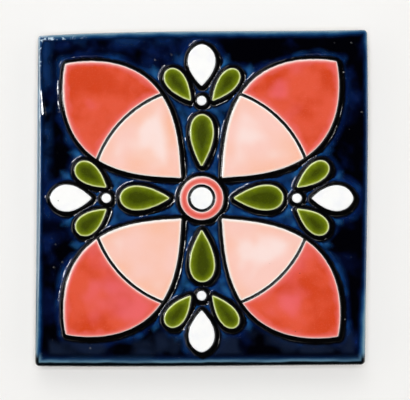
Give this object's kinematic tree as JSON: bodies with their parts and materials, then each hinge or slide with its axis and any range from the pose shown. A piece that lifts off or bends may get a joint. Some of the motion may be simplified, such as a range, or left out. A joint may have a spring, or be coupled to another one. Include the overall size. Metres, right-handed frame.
{
  "type": "earthenware tile",
  "caption": "Square pressed earthenware wall tile with a raised rosette in coloured glazes on a dark blue glazed ground and a bare grooved back.",
  "frame": {"origin": "middle of the bare back, in the plane it rests on", "axes": "+Z out of the glazed face, +Y up the face as it is hung, +X to the right of the face"},
  "size_m": [0.1506, 0.1524, 0.0125],
  "materials": {
    "glazed_earthenware": "thick glossy dark blue glaze with pink, coral, green and white fields on the face, bare buff clay on the back"
  },
  "bodies": {
    "root": {"tile": "glazed_earthenware"}
  },
  "joints": []
}
